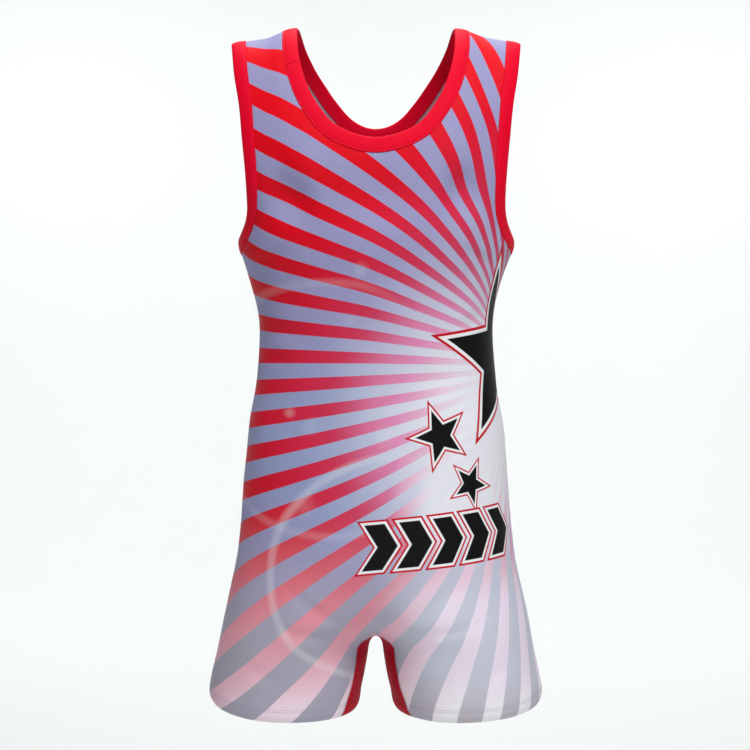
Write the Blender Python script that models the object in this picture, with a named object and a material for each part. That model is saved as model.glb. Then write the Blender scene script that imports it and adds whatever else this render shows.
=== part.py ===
"""Wrestling singlet, worn shape, hollow: two printed panels, an inner-leg gusset and three bindings.

Metres, +Z up. The front faces -Y and the wearer's left is +X. The origin lies midway between the
straps, level with the inner face of their tops. Every piece follows one surface, the skin, which is
the outer face of the panels. A level is a height on it, and the strap tops are at level zero.
"""

from collections import namedtuple

import bmesh
import bpy
import numpy as np

# Cloth and seams.
PANEL_WALL = 0.0015
BINDING_WALL = 0.0024
BINDING_WIDTH = 0.019
BINDING_EDGE = 0.0012
SEAM_GAP = 0.0003

# Main levels.
FRONT_CHEST_LEVEL = -0.235
BACK_CHEST_LEVEL = -0.190
UNDERARM_LEVEL = -0.2745
HIP_LEVEL = -0.600
CLEFT_LEVEL = -0.700
HEM_LEVEL = -0.843
HEM_TILT = 0.006  # the hem is this much higher at its outer side, and lower at its inner one
CLEFT_RADIUS = 0.010  # how far the cloth bridges between the legs
DOME_POWER = 2.5  # shape of the curve from chest to strap top: 2 is an ellipse, and more is fuller

# Rows and columns of the panels' grids, on one half.
NECK_ROWS = 12
ARMHOLE_ROWS = 19
WAIST_ROWS = 12  # along the side seam, from underarm to hip
CROTCH_ROWS = 7
LEG_ROWS = 9
PANEL_COLUMNS = 11
GUSSET_COLUMNS = 8
JOIN_ROW = 4  # the neck binding is joined this many rows down the right front strap

# Cross-sections of the body. At the hips the one ellipse parts into two, which become the legs.
SECTION_COLUMNS = ("level", "half_width", "leg_centre", "front_depth", "back_depth")
SECTIONS = (
    (-0.852, 0.2130, 0.1180, 0.0875, 0.0925),  # below the hem, which turns in
    (-0.832, 0.2143, 0.1183, 0.0890, 0.0940),  # widest at the hem
    (-0.812, 0.2110, 0.1147, 0.0895, 0.0950),
    (-0.785, 0.2046, 0.1095, 0.0910, 0.0980),  # thigh
    (-0.758, 0.1991, 0.1046, 0.0935, 0.1025),  # crotch
    (-0.750, 0.1975, 0.1017, 0.0945, 0.1040),
    (-0.740, 0.1955, 0.0955, 0.0960, 0.1060),
    (-0.726, 0.1924, 0.0830, 0.0980, 0.1090),
    (-0.705, 0.1880, 0.0630, 0.1000, 0.1130),
    (-0.680, 0.1822, 0.0420, 0.1020, 0.1170),
    (-0.655, 0.1762, 0.0220, 0.1045, 0.1200),
    (-0.627, 0.1729, 0.0090, 0.1060, 0.1210),  # seat
    (-0.580, 0.1690, 0.0000, 0.1060, 0.1180),
    (-0.534, 0.1648, 0.0000, 0.1050, 0.1120),  # hips
    (-0.482, 0.1592, 0.0000, 0.1030, 0.1040),
    (-0.440, 0.1511, 0.0000, 0.1020, 0.0980),
    (-0.385, 0.1463, 0.0000, 0.1030, 0.0950),
    (-0.360, 0.1462, 0.0000, 0.1050, 0.0960),  # waist
    (-0.335, 0.1493, 0.0000, 0.1080, 0.0980),
    (-0.310, 0.1557, 0.0000, 0.1110, 0.1010),
    (-0.285, 0.1635, 0.0000, 0.1145, 0.1040),
    (-0.265, 0.1700, 0.0000, 0.1165, 0.1060),  # underarm
    (-0.250, 0.1708, 0.0000, 0.1180, 0.1080),
    (-0.230, 0.1740, 0.0000, 0.1185, 0.1090),
    (-0.200, 0.1850, 0.0000, 0.1190, 0.1100),  # chest
    (-0.150, 0.2000, 0.0000, 0.1170, 0.1090),
    (-0.080, 0.2150, 0.0000, 0.1130, 0.1050),
    (0.0000, 0.2220, 0.0000, 0.1080, 0.1000),  # shoulders
)

# Height of the strap tops, from the neck outwards.
CREST_COLUMNS = ("half_width", "height")
CREST = (
    (0.080, 0.0055),
    (0.095, 0.0025),
    (0.115, -0.0020),
    (0.131, -0.0080),
    (0.155, -0.0125),
    (0.172, -0.0155),
    (0.190, -0.0210),
)

# Seams. A neck seam ends on the centre line, and an armhole seam on the side line.
NECK_COLUMNS = ("level", "half_width")
FRONT_NECK = (
    (0.0000, 0.1140),
    (-0.038, 0.1105),
    (-0.065, 0.1045),
    (-0.1045, 0.0885),
    (-0.1385, 0.0620),
    (-0.1550, 0.0300),
    (-0.1600, 0.0000),
)
BACK_NECK = (
    (0.0000, 0.1140),
    (-0.022, 0.1065),
    (-0.045, 0.0960),
    (-0.0675, 0.0825),
    (-0.0925, 0.0640),
    (-0.1145, 0.0420),
    (-0.1255, 0.0200),
    (-0.1285, 0.0000),
)
ARMHOLE_COLUMNS = ("level", "turn")  # turn: degrees round the body from the centre line
FRONT_ARMHOLE = (
    (0.0000, 46.1),
    (-0.045, 44.4),
    (-0.085, 43.5),
    (-0.130, 44.5),
    (-0.175, 47.1),
    (-0.205, 50.3),
    (-0.230, 55.2),
    (-0.250, 62.0),
    (-0.2665, 73.0),
    (UNDERARM_LEVEL, 90.0),
)
BACK_ARMHOLE = (
    (0.0000, 46.1),
    (-0.045, 44.8),
    (-0.085, 44.3),
    (-0.130, 45.3),
    (-0.175, 47.9),
    (-0.205, 51.0),
    (-0.230, 55.8),
    (-0.250, 62.4),
    (-0.2665, 73.2),
    (UNDERARM_LEVEL, 90.0),
)
GUSSET_SEAM_COLUMNS = ("level", "turn")  # turn: degrees round the leg, inwards from its front
GUSSET_SEAM = (
    (-0.860, 51.0),
    (-0.850, 52.0),
    (-0.832, 56.5),
    (-0.815, 59.5),
    (-0.790, 60.5),
    (-0.770, 60.5),
    (-0.760, 60.0),
    (-0.756, 63.0),
    (-0.752, 75.0),
    (-0.747, 81.0),
    (-0.730, 84.0),
)

# Colours, linear RGB.
RED = (0.80, 0.004, 0.022)
PRINT_GREY = (0.36, 0.37, 0.58)
CRIMSON = (0.36, 0.002, 0.030)

CLOTH_ROUGHNESS = 0.55
BINDING_ROUGHNESS = 0.50
SHARP_ANGLE = np.radians(50)

QUARTER = np.pi / 2
ON_CENTRE = 1e-6  # a point nearer the centre plane than this lies on it
GRADIENT_STEP = 1e-5
DENSE_STEPS = 3000  # steps of a curve before it is resampled evenly
HALVINGS = 60  # of the interval in which the foot of a gusset line is searched
Side = namedtuple("Side", "sign chest depth neck armhole")
Grid = namedtuple("Grid", "points normals")


def column(rows, names, name):
    return np.array([row[names.index(name)] for row in rows])


def smooth(at, knots, values):
    """Cubic curve through the values at rising knots, with each slope from the neighbours."""
    slopes = np.gradient(values, knots)
    at = np.clip(at, knots[0], knots[-1])
    cell = np.clip(np.searchsorted(knots, at) - 1, 0, len(knots) - 2)
    step = knots[cell + 1] - knots[cell]
    t = (at - knots[cell]) / step
    start = (2 * t**3 - 3 * t**2 + 1) * values[cell] + (t**3 - 2 * t**2 + t) * step * slopes[cell]
    end = (3 * t**2 - 2 * t**3) * values[cell + 1] + (t**3 - t**2) * step * slopes[cell + 1]
    return start + end


LEVELS = column(SECTIONS, SECTION_COLUMNS, "level")
FRONT = Side(-1, FRONT_CHEST_LEVEL, "front_depth", FRONT_NECK, FRONT_ARMHOLE)
BACK = Side(1, BACK_CHEST_LEVEL, "back_depth", BACK_NECK, BACK_ARMHOLE)


def section(level, name):
    return smooth(level, LEVELS, column(SECTIONS, SECTION_COLUMNS, name))


def crest(x):
    widths = column(CREST, CREST_COLUMNS, "half_width")
    return smooth(np.abs(x), widths, column(CREST, CREST_COLUMNS, "height"))


def cleft(level):
    """Bridging radius of the cloth between the legs: none on the trunk, full at the crotch."""
    share = np.clip((HIP_LEVEL - level) / (HIP_LEVEL - CLEFT_LEVEL), 0, 1)
    return CLEFT_RADIUS * share**2 * (3 - 2 * share)


def climb_of(side, level):
    """Chart height: an angle above the chest, where the skin domes over, and a length below it."""
    share = (level - side.chest) / -side.chest
    return np.where(share > 0, np.arcsin(np.clip(share, 0, 1)), share)


def level_of(side, climb):
    return side.chest * (1 - np.where(climb > 0, np.sin(np.clip(climb, 0, QUARTER)), climb))


def height_of(side, climb, x):
    """Height of a point, which the slope of the strap tops lowers or raises above the chest."""
    rise = np.sin(np.clip(climb, 0, QUARTER))
    return level_of(side, climb) + crest(x) * rise


def fade(rise):
    """Share of its full depth that the body keeps at a rise from 0 at the chest to 1 at the strap tops."""
    return np.sqrt(np.clip(1 - np.clip(rise, 0, 1) ** DOME_POWER, 0, 1))


def inner_turn(level):
    """Turn of the centre line: zero on the trunk, and inwards of each leg's front below the hip."""
    centre = section(level, "leg_centre")
    radius = section(level, "half_width") - centre
    return np.arcsin(np.clip((cleft(level) - centre) / radius, -1, 1))


def spread(reach, level):
    """Distance from the centre plane, where the cloth that bridges between the legs comes nearer to it."""
    x = np.sqrt(np.maximum(reach**2 - cleft(level) ** 2, 0))
    return np.where(x < ON_CENTRE, 0, x)


def skin(side, across, climb):
    """Points of the skin on the +X half, where across is 0 on the centre line and 1 on the side line."""
    across, climb = np.broadcast_arrays(np.asarray(across, float), np.asarray(climb, float))
    level = level_of(side, climb)
    start = inner_turn(level)
    turn = start + across * (QUARTER - start)
    centre = section(level, "leg_centre")
    reach = centre + (section(level, "half_width") - centre) * np.sin(turn)
    x = spread(reach, level)
    kept = fade(np.sin(np.clip(climb, 0, QUARTER)))
    y = side.sign * section(level, side.depth) * np.cos(turn) * kept
    return np.stack([x, y, height_of(side, climb, x)], axis=-1)


def skin_value(points):
    """Zero on the skin, positive inside it."""
    x, y, z = np.moveaxis(points, -1, 0)
    front = y < 0
    chest = np.where(front, FRONT.chest, BACK.chest)
    rise = np.clip((z - chest) / (crest(x) - chest), 0, None)
    level = np.where(rise > 0, chest * (1 - rise), z)
    centre = section(level, "leg_centre")
    radius = section(level, "half_width") - centre
    depth = np.where(front, section(level, FRONT.depth), section(level, BACK.depth))
    reach = np.sqrt(x**2 + cleft(level) ** 2)
    return (1 - rise**DOME_POWER) * (1 - ((reach - centre) / radius) ** 2) - (y / depth) ** 2


def skin_gradient(points):
    parts = []
    for axis in np.eye(3) * GRADIENT_STEP:
        parts.append((skin_value(points + axis) - skin_value(points - axis)) / (2 * GRADIENT_STEP))
    return np.stack(parts, axis=-1)


def unit(vectors):
    return vectors / np.linalg.norm(vectors, axis=-1, keepdims=True)


def skin_normal(points):
    return -unit(skin_gradient(points))


def on_skin(points):
    """The points moved onto the skin, along its normal."""
    for _ in range(4):
        slope = skin_gradient(points)
        share = skin_value(points) / np.sum(slope**2, axis=-1)
        points = points - share[..., None] * slope
    return points


def even_steps(side, across, climb, count):
    """A dense chart curve resampled at even distances along the skin."""
    along = np.linalg.norm(np.diff(skin(side, across, climb), axis=0), axis=-1)
    along = np.append(0, np.cumsum(along))
    wanted = np.linspace(0, along[-1], count + 1)
    return np.interp(wanted, along, across), np.interp(wanted, along, climb)


def seam_through(side, across, climb, mirrored_about, count):
    """Even steps on a smooth seam from the strap top, which crosses the last line square to it."""
    corners = skin(side, across, climb)
    along = np.append(0, np.cumsum(np.linalg.norm(np.diff(corners, axis=0), axis=-1)))
    knots = np.append(along, 2 * along[-1] - along[-2])
    across = np.append(across, 2 * mirrored_about - across[-2])
    climb = np.append(climb, climb[-2])
    dense = along[-1] * np.linspace(0, 1, DENSE_STEPS + 1) ** 1.5
    return even_steps(side, smooth(dense, knots, across), smooth(dense, knots, climb), count)


def neck_seam(side):
    level = column(side.neck, NECK_COLUMNS, "level")
    turn = np.arcsin(column(side.neck, NECK_COLUMNS, "half_width") / section(level, "half_width"))
    return seam_through(side, turn / QUARTER, climb_of(side, level), 0, NECK_ROWS)


def armhole_seam(side):
    level = column(side.armhole, ARMHOLE_COLUMNS, "level")
    turn = np.radians(column(side.armhole, ARMHOLE_COLUMNS, "turn"))
    return seam_through(side, turn / QUARTER, climb_of(side, level), 1, ARMHOLE_ROWS)


def gusset_turn(level):
    """Turn of the gusset's front seam on a leg, counted inwards from the leg's front."""
    rows = GUSSET_SEAM
    return -np.radians(smooth(level, column(rows, GUSSET_SEAM_COLUMNS, "level"),
                              column(rows, GUSSET_SEAM_COLUMNS, "turn")))


def meridian(share, level):
    """Points of the gusset: share is 1 on the front seam, 0 inmost on the leg and -1 on the back seam."""
    turn = -QUARTER + share * (gusset_turn(level) + QUARTER)
    centre = section(level, "leg_centre")
    reach = centre + (section(level, "half_width") - centre) * np.sin(turn)
    x = spread(reach, level)
    depth = np.where(share > 0, section(level, FRONT.depth), section(level, BACK.depth))
    return np.stack([x, -depth * np.cos(turn), level], axis=-1)


def meridian_levels(share):
    """Levels of a meridian from the centre line under the crotch down to the hem, evenly along it."""
    high, low = HIP_LEVEL, HEM_LEVEL
    for _ in range(HALVINGS):
        middle = (high + low) / 2
        turn = -QUARTER + share * (gusset_turn(middle) + QUARTER)
        centre = section(middle, "leg_centre")
        reach = centre + (section(middle, "half_width") - centre) * np.sin(turn)
        high, low = (middle, low) if reach < cleft(middle) else (high, middle)
    top = (high + low) / 2
    seam_turn = -QUARTER + share * (gusset_turn(HEM_LEVEL) + QUARTER)
    bottom = HEM_LEVEL + HEM_TILT * np.sin(seam_turn)
    dense = top + (bottom - top) * np.linspace(0, 1, DENSE_STEPS + 1) ** 2
    seen = meridian(share, dense)[:, [0, 2]]
    along = np.append(0, np.cumsum(np.linalg.norm(np.diff(seen, axis=0), axis=-1)))
    return np.interp(np.linspace(0, along[-1], LEG_ROWS + 1), along, dense)


def crotch_levels(top):
    """Levels on the centre line from the hip to the gusset, evenly along the front."""
    climb = climb_of(FRONT, np.linspace(HIP_LEVEL, top, DENSE_STEPS + 1))
    return level_of(FRONT, even_steps(FRONT, 0 * climb, climb, CROTCH_ROWS)[1])


def panel_edges(side):
    """Chart curves of a half panel's inner and outer edges, row by row from the strap top to the hem."""
    neck_across, neck_climb = neck_seam(side)
    arm_across, arm_climb = armhole_seam(side)
    seam = meridian_levels(1.0)
    crotch = crotch_levels(seam[0])
    trunk_rows = ARMHOLE_ROWS + WAIST_ROWS - NECK_ROWS
    centre = np.linspace(level_of(side, neck_climb[-1]), HIP_LEVEL, trunk_rows + 1)
    waist = np.linspace(UNDERARM_LEVEL, HIP_LEVEL, WAIST_ROWS + 1)
    start = inner_turn(seam)
    seam_across = (gusset_turn(seam) - start) / (QUARTER - start)
    drop = (seam[0] - seam) / (seam[0] - seam[-1])
    side_of_leg = seam + drop * (HEM_LEVEL + HEM_TILT - seam[-1])
    none = np.zeros(trunk_rows + CROTCH_ROWS)
    inner = (
        np.concatenate([neck_across, none, seam_across[1:]]),
        np.concatenate([neck_climb, climb_of(side, np.concatenate([centre[1:], crotch[1:], seam[1:]]))]),
    )
    outer = (
        np.concatenate([arm_across, np.ones(WAIST_ROWS + CROTCH_ROWS + LEG_ROWS)]),
        np.concatenate([arm_climb, climb_of(side, np.concatenate([waist[1:], crotch[1:], side_of_leg[1:]]))]),
    )
    return inner, outer


def along_edge(points, square_start=False, square_end=False):
    """Unit tangents of an edge; a square end crosses the centre plane at right angles."""
    tangents = np.gradient(points, axis=0)
    if square_start:
        tangents[0] = (np.sign(tangents[0][0]), 0, 0)
    if square_end:
        tangents[-1] = (np.sign(tangents[-1][0]), 0, 0)
    return unit(tangents)


def set_back(edge, normals, neighbours, **ends):
    """How far each point of an edge moves, in the skin, to leave half the seam gap."""
    away = unit(np.cross(normals, along_edge(edge, **ends)))
    return away * np.sign(np.sum(away * (neighbours - edge))) * SEAM_GAP / 2


def panel_grid(side):
    """Half a panel on the skin: rows from the strap top to the hem, columns from the inner edge out."""
    (inner_across, inner_climb), (outer_across, outer_climb) = panel_edges(side)
    share = np.linspace(0, 1, PANEL_COLUMNS + 1)
    across = inner_across[:, None] + share * (outer_across - inner_across)[:, None]
    climb = inner_climb[:, None] + share * (outer_climb - inner_climb)[:, None]
    points = skin(side, across, climb)
    normals = skin_normal(points)
    neck = slice(0, NECK_ROWS + 1)
    gusset = slice(len(points) - LEG_ROWS - 1, len(points))
    armhole = slice(0, ARMHOLE_ROWS + 1)
    waist = slice(ARMHOLE_ROWS, len(points))
    moves = np.zeros_like(points)
    for rows, edge, inside, ends in (
        (neck, 0, 1, {"square_end": True}),
        (gusset, 0, 1, {"square_start": True}),
        (armhole, -1, -2, {}),
        (waist, -1, -2, {}),
    ):
        moves[rows, edge] += set_back(points[rows, edge], normals[rows, edge], points[rows, inside], **ends)
    moves[0] += set_back(points[0], normals[0], points[1])
    return Grid(points + moves, normals)


def gusset_grid():
    """Half the gusset on the skin: rows from under the crotch to the hem, columns from front to back."""
    columns = []
    for share in np.linspace(1, -1, GUSSET_COLUMNS + 1):
        columns.append(meridian(share, meridian_levels(share)))
    points = np.stack(columns, axis=1)
    normals = skin_normal(points)
    moves = np.zeros_like(points)
    for edge, inside in ((0, 1), (-1, -2)):
        moves[:, edge] += set_back(points[:, edge], normals[:, edge], points[:, inside],
                                   square_start=True)
    return Grid(points + moves, normals)


def strip_profile():
    """Cross-section of a binding: distance from the seam and height above the skin, all the way round."""
    over = (BINDING_WALL - PANEL_WALL) / 2
    under = -PANEL_WALL - over
    middle = (over + under) / 2
    edge = BINDING_WIDTH - BINDING_EDGE
    near = SEAM_GAP / 2
    return (
        (near, over),
        (BINDING_WIDTH * 0.35, over),
        (BINDING_WIDTH * 0.70, over),
        (edge, over),
        (BINDING_WIDTH, middle),
        (edge, under),
        (BINDING_WIDTH * 0.5, under),
        (near, under),
    )


def strip_rings(seam, tangents, toward_hole):
    """Cross-sections of a binding at each seam point, and the skin's normals there."""
    normals = skin_normal(seam)
    out = unit(np.cross(normals, tangents))
    out *= np.sign(np.sum(out * toward_hole))
    rings = []
    for distance, height in strip_profile():
        foot = on_skin(seam + distance * out)
        rings.append(foot + height * skin_normal(foot))
    return np.stack(rings, axis=1)


def new_object(name, bm, colour, roughness):
    bmesh.ops.recalc_face_normals(bm, faces=bm.faces)
    mesh = bpy.data.meshes.new(name)
    bm.to_mesh(mesh)
    bm.free()
    mesh.shade_smooth()
    mesh.set_sharp_from_angle(angle=SHARP_ANGLE)
    material = bpy.data.materials.new(name)
    material.use_nodes = True
    shader = material.node_tree.nodes["Principled BSDF"]
    shader.inputs["Base Color"].default_value = (*colour, 1)
    shader.inputs["Roughness"].default_value = roughness
    shader.inputs["Metallic"].default_value = 0
    mesh.materials.append(material)
    obj = bpy.data.objects.new(name, mesh)
    bpy.context.scene.collection.objects.link(obj)
    return obj


def halved_panel(name, grid, colour):
    """A wall inside the grid's skin, open on the centre plane, where a Mirror adds the other half."""
    bm = bmesh.new()
    faces = []
    outer = [[bm.verts.new(point) for point in row] for row in grid.points]
    inside = grid.points - PANEL_WALL * grid.normals
    inside[..., 0] = np.where(grid.points[..., 0] == 0, 0, inside[..., 0])
    inner = [[bm.verts.new(point) for point in row] for row in inside]
    partner = {}
    for outer_row, inner_row in zip(outer, inner):
        partner.update(zip(outer_row, inner_row))
    for upper, lower in zip(outer, outer[1:]):
        for k in range(len(upper) - 1):
            faces.append(bm.faces.new((upper[k], upper[k + 1], lower[k + 1], lower[k])))
    rim = [edge for edge in bm.edges if edge.is_boundary]
    for face in faces:
        bm.faces.new([partner[vert] for vert in reversed(face.verts)])
    for edge in rim:
        a, b = edge.verts
        if a.co.x == 0 and b.co.x == 0:
            continue
        bm.faces.new((a, b, partner[b], partner[a]))
    obj = new_object(name, bm, colour, CLOTH_ROUGHNESS)
    mirror = obj.modifiers.new("other half", "MIRROR")
    mirror.merge_threshold = 0.00005
    return obj


def binding(name, rings, colour):
    """A strip through cross-sections, with a flat cap at each end."""
    bm = bmesh.new()
    loops = [[bm.verts.new(point) for point in ring] for ring in rings]
    for first, second in zip(loops, loops[1:]):
        for k in range(len(first)):
            n = (k + 1) % len(first)
            bm.faces.new((first[k], first[n], second[n], second[k]))
    bm.faces.new(loops[0])
    bm.faces.new(reversed(loops[-1]))
    return new_object(name, bm, colour, BINDING_ROUGHNESS)


def opened_ring(points, tangents):
    """A closed run of seam points, opened at its first one by the seam gap."""
    points = np.concatenate([points, points[:1]])
    tangents = np.concatenate([tangents, tangents[:1]])
    points[0] += tangents[0] * SEAM_GAP / 2
    points[-1] -= tangents[0] * SEAM_GAP / 2
    return points, tangents


def closed_tangents(points):
    return unit(np.roll(points, -1, axis=0) - np.roll(points, 1, axis=0))


def neck_binding():
    flip = np.array([-1, 1, 1])
    front = skin(FRONT, *neck_seam(FRONT))
    back = skin(BACK, *neck_seam(BACK))
    ring = np.concatenate([front * flip, front[-2::-1], back[1:], (back * flip)[-2:0:-1]])
    ring = np.roll(ring, -JOIN_ROW, axis=0)
    points, tangents = opened_ring(ring, closed_tangents(ring))
    centre = ring.mean(axis=0)
    return binding("neck_binding", strip_rings(points, tangents, centre - points), RED)


def armhole_binding(name, mirrored):
    front = skin(FRONT, *armhole_seam(FRONT))
    back = skin(BACK, *armhole_seam(BACK))
    ring = np.concatenate([front[::-1], back[1:-1]])
    points, tangents = opened_ring(ring, closed_tangents(ring))
    rings = strip_rings(points, tangents, ring.mean(axis=0) - points)
    if mirrored:
        rings = rings * np.array([-1, 1, 1])
    return binding(name, rings, RED)


def clear_scene():
    for obj in list(bpy.data.objects):
        bpy.data.objects.remove(obj)


def main():
    clear_scene()
    halved_panel("front_panel", panel_grid(FRONT), PRINT_GREY)
    halved_panel("back_panel", panel_grid(BACK), PRINT_GREY)
    halved_panel("leg_gusset", gusset_grid(), CRIMSON)
    neck_binding()
    armhole_binding("armhole_binding_left", mirrored=False)
    armhole_binding("armhole_binding_right", mirrored=True)


main()
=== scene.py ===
"""Wrestling singlet, filled out with no wearer: fine cloth, print, bindings and stitching.

Metres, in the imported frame: the front faces -Y and the wearer's left is +X. Every piece follows one
surface, the skin, which is the outer face of the panels. A level is a height on it, and the strap
tops are at level zero.
"""

from collections import namedtuple

import bmesh
import bpy
import numpy as np
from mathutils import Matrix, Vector


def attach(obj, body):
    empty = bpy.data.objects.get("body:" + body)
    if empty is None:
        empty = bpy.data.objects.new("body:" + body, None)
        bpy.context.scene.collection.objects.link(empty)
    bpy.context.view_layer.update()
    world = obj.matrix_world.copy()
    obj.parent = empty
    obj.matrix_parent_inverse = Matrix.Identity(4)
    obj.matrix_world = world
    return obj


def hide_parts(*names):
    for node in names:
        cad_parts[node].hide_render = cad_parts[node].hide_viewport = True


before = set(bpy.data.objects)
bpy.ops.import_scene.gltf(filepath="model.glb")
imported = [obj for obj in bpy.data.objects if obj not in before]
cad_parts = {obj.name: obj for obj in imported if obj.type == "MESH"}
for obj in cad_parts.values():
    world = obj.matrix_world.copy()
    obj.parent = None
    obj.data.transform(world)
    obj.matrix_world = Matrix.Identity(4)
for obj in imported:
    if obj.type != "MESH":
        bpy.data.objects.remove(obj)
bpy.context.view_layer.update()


def table(names, *rows):
    """A table's columns, by name."""
    return dict(zip(names.split(), np.array(rows, float).T))


def records(names, *rows):
    """A table's rows, each with its values by name."""
    return [dict(zip(names.split(), row)) for row in rows]


# Cloth and seams.
CLOTH = 0.0009  # thickness of the knit
SEAM_GAP = 0.0003
JOIN_GAP = 0.00008  # between a binding's two ends
FRONT_CHEST_LEVEL = -0.235
BACK_CHEST_LEVEL = -0.190
UNDERARM_LEVEL = -0.2745
HIP_LEVEL = -0.600
CLEFT_LEVEL = -0.700
CROTCH_LEVEL = -0.7475
HEM_LEVEL = -0.843
HEM_TILT = 0.006
CLEFT_RADIUS = 0.010
DOME_POWER = 2.5

# Rows and columns of the panels' grids, on one half.
NECK_ROWS = 72
ARMHOLE_ROWS = 114
WAIST_ROWS = 84
CROTCH_ROWS = 42
LEG_ROWS = 48
PANEL_COLUMNS = 60
GUSSET_COLUMNS = 36
JOIN_ROW = 24  # the neck binding is joined this many rows down the right front strap

SECTIONS = table(
    "level half_width leg_centre front_depth back_depth",
    (-0.852, 0.2130, 0.1180, 0.0875, 0.0925),  # below the hem, which turns in
    (-0.832, 0.2143, 0.1183, 0.0890, 0.0940),  # widest at the hem
    (-0.812, 0.2110, 0.1147, 0.0895, 0.0950),
    (-0.785, 0.2046, 0.1095, 0.0910, 0.0980),  # thigh
    (-0.758, 0.1991, 0.1046, 0.0935, 0.1025),  # crotch
    (-0.750, 0.1975, 0.1017, 0.0945, 0.1040),
    (-0.740, 0.1955, 0.0955, 0.0960, 0.1060),
    (-0.726, 0.1924, 0.0830, 0.0980, 0.1090),
    (-0.705, 0.1880, 0.0630, 0.1000, 0.1130),
    (-0.680, 0.1822, 0.0420, 0.1020, 0.1170),
    (-0.655, 0.1762, 0.0220, 0.1045, 0.1200),
    (-0.627, 0.1729, 0.0090, 0.1060, 0.1210),  # seat
    (-0.580, 0.1690, 0.0000, 0.1060, 0.1180),
    (-0.534, 0.1648, 0.0000, 0.1050, 0.1120),  # hips
    (-0.482, 0.1592, 0.0000, 0.1030, 0.1040),
    (-0.440, 0.1511, 0.0000, 0.1020, 0.0980),
    (-0.385, 0.1463, 0.0000, 0.1030, 0.0950),
    (-0.360, 0.1462, 0.0000, 0.1050, 0.0960),  # waist
    (-0.335, 0.1493, 0.0000, 0.1080, 0.0980),
    (-0.310, 0.1557, 0.0000, 0.1110, 0.1010),
    (-0.285, 0.1635, 0.0000, 0.1145, 0.1040),
    (-0.265, 0.1700, 0.0000, 0.1165, 0.1060),  # underarm
    (-0.250, 0.1708, 0.0000, 0.1180, 0.1080),
    (-0.230, 0.1740, 0.0000, 0.1185, 0.1090),
    (-0.200, 0.1850, 0.0000, 0.1190, 0.1100),  # chest
    (-0.150, 0.2000, 0.0000, 0.1170, 0.1090),
    (-0.080, 0.2150, 0.0000, 0.1130, 0.1050),
    (0.0000, 0.2220, 0.0000, 0.1080, 0.1000),  # shoulders
)
CREST = table(
    "half_width height",
    (0.080, 0.0055),
    (0.095, 0.0025),
    (0.115, -0.0020),
    (0.131, -0.0080),
    (0.155, -0.0125),
    (0.172, -0.0155),
    (0.190, -0.0210),
)
FRONT_NECK = table(
    "level half_width",
    (0.0000, 0.1140),
    (-0.038, 0.1105),
    (-0.065, 0.1045),
    (-0.1045, 0.0885),
    (-0.1385, 0.0620),
    (-0.1550, 0.0300),
    (-0.1600, 0.0000),
)
BACK_NECK = table(
    "level half_width",
    (0.0000, 0.1140),
    (-0.022, 0.1065),
    (-0.045, 0.0960),
    (-0.0675, 0.0825),
    (-0.0925, 0.0640),
    (-0.1145, 0.0420),
    (-0.1255, 0.0200),
    (-0.1285, 0.0000),
)
ARMHOLES = table(
    "level front back",
    (0.0000, 46.1, 46.1),
    (-0.045, 44.4, 44.8),
    (-0.085, 43.5, 44.3),
    (-0.130, 44.5, 45.3),
    (-0.175, 47.1, 47.9),
    (-0.205, 50.3, 51.0),
    (-0.230, 55.2, 55.8),
    (-0.250, 62.0, 62.4),
    (-0.2665, 73.0, 73.2),
    (UNDERARM_LEVEL, 90.0, 90.0),
)
GUSSET_SEAM = table(
    "level turn",
    (-0.860, 51.0),
    (-0.850, 52.0),
    (-0.832, 56.5),
    (-0.815, 59.5),
    (-0.790, 60.5),
    (-0.770, 60.5),
    (-0.760, 60.0),
    (-0.756, 63.0),
    (-0.752, 75.0),
    (-0.747, 81.0),
    (-0.730, 84.0),
)

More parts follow.
